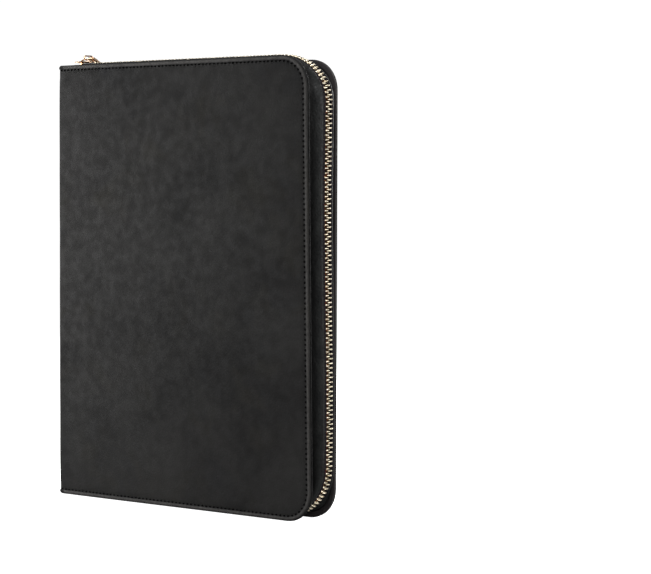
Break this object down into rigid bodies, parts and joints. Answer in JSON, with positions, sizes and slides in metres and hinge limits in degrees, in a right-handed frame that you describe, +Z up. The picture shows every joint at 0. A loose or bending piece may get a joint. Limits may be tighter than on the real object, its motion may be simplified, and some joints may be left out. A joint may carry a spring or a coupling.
{
  "type": "zip-around ring binder portfolio case",
  "caption": "Zip-around leather portfolio case with a ring binder spine, card slots, an identity window and a pen loop.",
  "frame": {"origin": "middle of the spine's outer face at the bottom edge, with the case closed and standing upright", "axes": "+X from the spine to the fore-edge, +Y from the front cover to the back cover, +Z up"},
  "size_m": [0.1925, 0.0355, 0.2585],
  "materials": {
    "outer_leather": "matt charcoal nubuck with cloudy mottling and a slightly lighter edge",
    "edge_leather": "matt dark grained leather on the walls and welts",
    "zip_tape": "fine herringbone woven tape, dark purple-brown",
    "zip_metal": "pale gold, lightly brushed and worn",
    "lining_leather": "smooth orange-tan lining with a fine grain",
    "stiffener": "grey pressed board",
    "window_film": "clear soft film over the tan leather",
    "ring_metal": "bright plated steel"
  },
  "bodies": {
    "spine": {"spine_leather": "outer_leather", "spine_board": "stiffener", "spine_lining": "lining_leather", "top_end_web": "edge_leather", "bottom_end_web": "edge_leather", "ring_housing": "ring_metal", "ring_rivets": "ring_metal", "trigger_pins": "ring_metal"},
    "front_cover": {"front_leather": "outer_leather", "front_board": "stiffener", "front_welt": "edge_leather", "front_gusset": "edge_leather", "front_zip_tape": "zip_tape", "front_zip_teeth": "zip_metal", "front_zip_stops": "zip_metal", "front_lining": "lining_leather", "slip_pocket": "lining_leather", "card_panel": "lining_leather", "card_strip_1": "lining_leather", "card_strip_2": "lining_leather", "card_strip_3": "lining_leather", "card_strip_4": "lining_leather", "id_pocket": "lining_leather", "id_window": "window_film"},
    "back_cover": {"back_leather": "outer_leather", "back_board": "stiffener", "back_welt": "edge_leather", "back_gusset": "edge_leather", "back_zip_tape": "zip_tape", "back_zip_teeth": "zip_metal", "back_zip_stops": "zip_metal", "back_lining": "lining_leather", "pen_loop": "lining_leather"},
    "zip_slider": {"slider_body": "zip_metal"},
    "slider_link": {"pull_link": "zip_metal"},
    "zip_pull": {"pull_tab": "zip_metal"},
    "front_leaf": {"front_ring_leaf": "ring_metal", "front_half_rings": "ring_metal"},
    "back_leaf": {"back_ring_leaf": "ring_metal", "back_half_rings": "ring_metal"},
    "upper_trigger": {"top_trigger": "ring_metal"},
    "lower_trigger": {"bottom_trigger": "ring_metal"}
  },
  "joints": [
    {"name": "front_cover_fold", "type": "hinge", "parent": "spine", "child": "front_cover", "pos_m": [0, -0.0125, 0.126], "axis": [0, 0, -1], "range_deg": [0, 90]},
    {"name": "back_cover_fold", "type": "hinge", "parent": "spine", "child": "back_cover", "pos_m": [0, 0.0125, 0.126], "axis": [0, 0, 1], "range_deg": [0, 90]},
    {"name": "zip_slide", "type": "slide", "parent": "back_cover", "child": "zip_slider", "axis": [1, 0, 0], "range_m": [0, 0.145]},
    {"name": "link_swing", "type": "hinge", "parent": "zip_slider", "child": "slider_link", "pos_m": [0.0101, 0, 0.25685], "axis": [1, 0, 0], "range_deg": [0, 180]},
    {"name": "tab_swing", "type": "hinge", "parent": "slider_link", "child": "zip_pull", "pos_m": [0.0101, 0.0045, 0.25685], "axis": [1, 0, 0], "range_deg": [0, 28]},
    {"name": "front_leaf_rock", "type": "hinge", "parent": "spine", "child": "front_leaf", "pos_m": [0.00365, -0.00555, 0.126], "axis": [0, 0, -1], "range_deg": [0, 10]},
    {"name": "back_leaf_rock", "type": "hinge", "parent": "spine", "child": "back_leaf", "pos_m": [0.00365, 0.00555, 0.126], "axis": [0, 0, 1], "range_deg": [0, 10]},
    {"name": "top_trigger_tilt", "type": "hinge", "parent": "spine", "child": "upper_trigger", "pos_m": [0.00475, 0, 0.227], "axis": [0, -1, 0], "range_deg": [0, 25]},
    {"name": "bottom_trigger_tilt", "type": "hinge", "parent": "spine", "child": "lower_trigger", "pos_m": [0.00475, 0, 0.025], "axis": [0, 1, 0], "range_deg": [0, 25]}
  ],
  "couplings": [
    {"joint": "back_leaf_rock", "follows": "front_leaf_rock", "ratio": 1},
    {"joint": "top_trigger_tilt", "follows": "front_leaf_rock", "ratio": 2.5},
    {"joint": "bottom_trigger_tilt", "follows": "front_leaf_rock", "ratio": 2.5}
  ]
}
